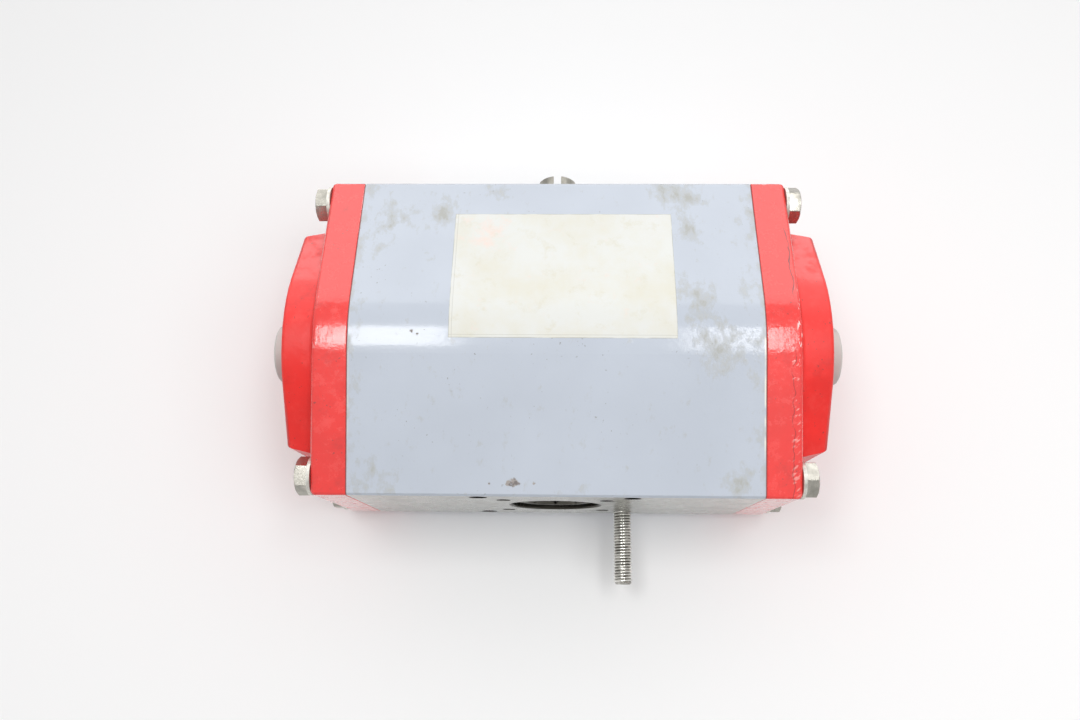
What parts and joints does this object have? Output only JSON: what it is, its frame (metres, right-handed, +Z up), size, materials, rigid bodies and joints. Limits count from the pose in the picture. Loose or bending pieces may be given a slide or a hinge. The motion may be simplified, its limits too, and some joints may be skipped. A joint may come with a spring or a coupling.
{
  "type": "rotary pneumatic actuator",
  "caption": "Double-acting rack-and-pinion air actuator that turns a valve stem a quarter turn, with a bulged body, domed end covers and a slotted shaft stub.",
  "frame": {"origin": "centre of the valve mounting face, on the shaft's axis", "axes": "X along the cylinder, Y along the shaft from the valve face to the top face, Z up, away from the air connection face it lies on"},
  "size_m": [0.291, 0.215, 0.1264],
  "materials": {
    "body_enamel": "semi-gloss enamel",
    "cover_enamel": "gloss enamel",
    "plated_steel": "zinc plated",
    "grey_plastic": "moulded",
    "seal_rubber": "moulded",
    "bearing_plastic": "moulded",
    "shaft_steel": "turned and plated",
    "spring_steel": "blackened",
    "piston_alloy": "die cast",
    "label_paper": "coated paper"
  },
  "bodies": {
    "housing": {"housing": "body_enamel", "left_end_cap": "cover_enamel", "right_end_cap": "cover_enamel", "left_cap_gasket": "seal_rubber", "right_cap_gasket": "seal_rubber", "left_cap_bolts": "plated_steel", "right_cap_bolts": "plated_steel", "left_cap_washers": "plated_steel", "right_cap_washers": "plated_steel", "left_end_plug": "grey_plastic", "right_end_plug": "grey_plastic", "left_plug_seal": "seal_rubber", "right_plug_seal": "seal_rubber", "mounting_stud": "plated_steel", "lower_bearing_bush": "bearing_plastic", "upper_bearing_bush": "bearing_plastic", "thrust_bearing": "bearing_plastic"},
    "drive_shaft": {"pinion_shaft": "shaft_steel", "lower_shaft_seal": "seal_rubber", "upper_shaft_seal": "seal_rubber", "thrust_washer": "plated_steel", "retaining_ring": "spring_steel"},
    "left_piston": {"left_piston": "piston_alloy", "left_piston_seal": "seal_rubber", "left_guide_band": "bearing_plastic", "left_rack_pad": "bearing_plastic"},
    "right_piston": {"right_piston": "piston_alloy", "right_piston_seal": "seal_rubber", "right_guide_band": "bearing_plastic", "right_rack_pad": "bearing_plastic"}
  },
  "joints": [
    {"name": "shaft_turn", "type": "hinge", "parent": "housing", "child": "drive_shaft", "pos_m": [0, 0, 0], "axis": [0, 1, 0], "range_deg": [0, 90]},
    {"name": "right_piston_slide", "type": "slide", "parent": "housing", "child": "right_piston", "axis": [1, 0, 0], "range_m": [0, 0.0314]},
    {"name": "left_piston_slide", "type": "slide", "parent": "housing", "child": "left_piston", "axis": [-1, 0, 0], "range_m": [0, 0.0314]}
  ],
  "couplings": [
    {"joint": "shaft_turn", "follows": "right_piston_slide", "rad_per_m": 50},
    {"joint": "left_piston_slide", "follows": "right_piston_slide", "ratio": 1}
  ]
}
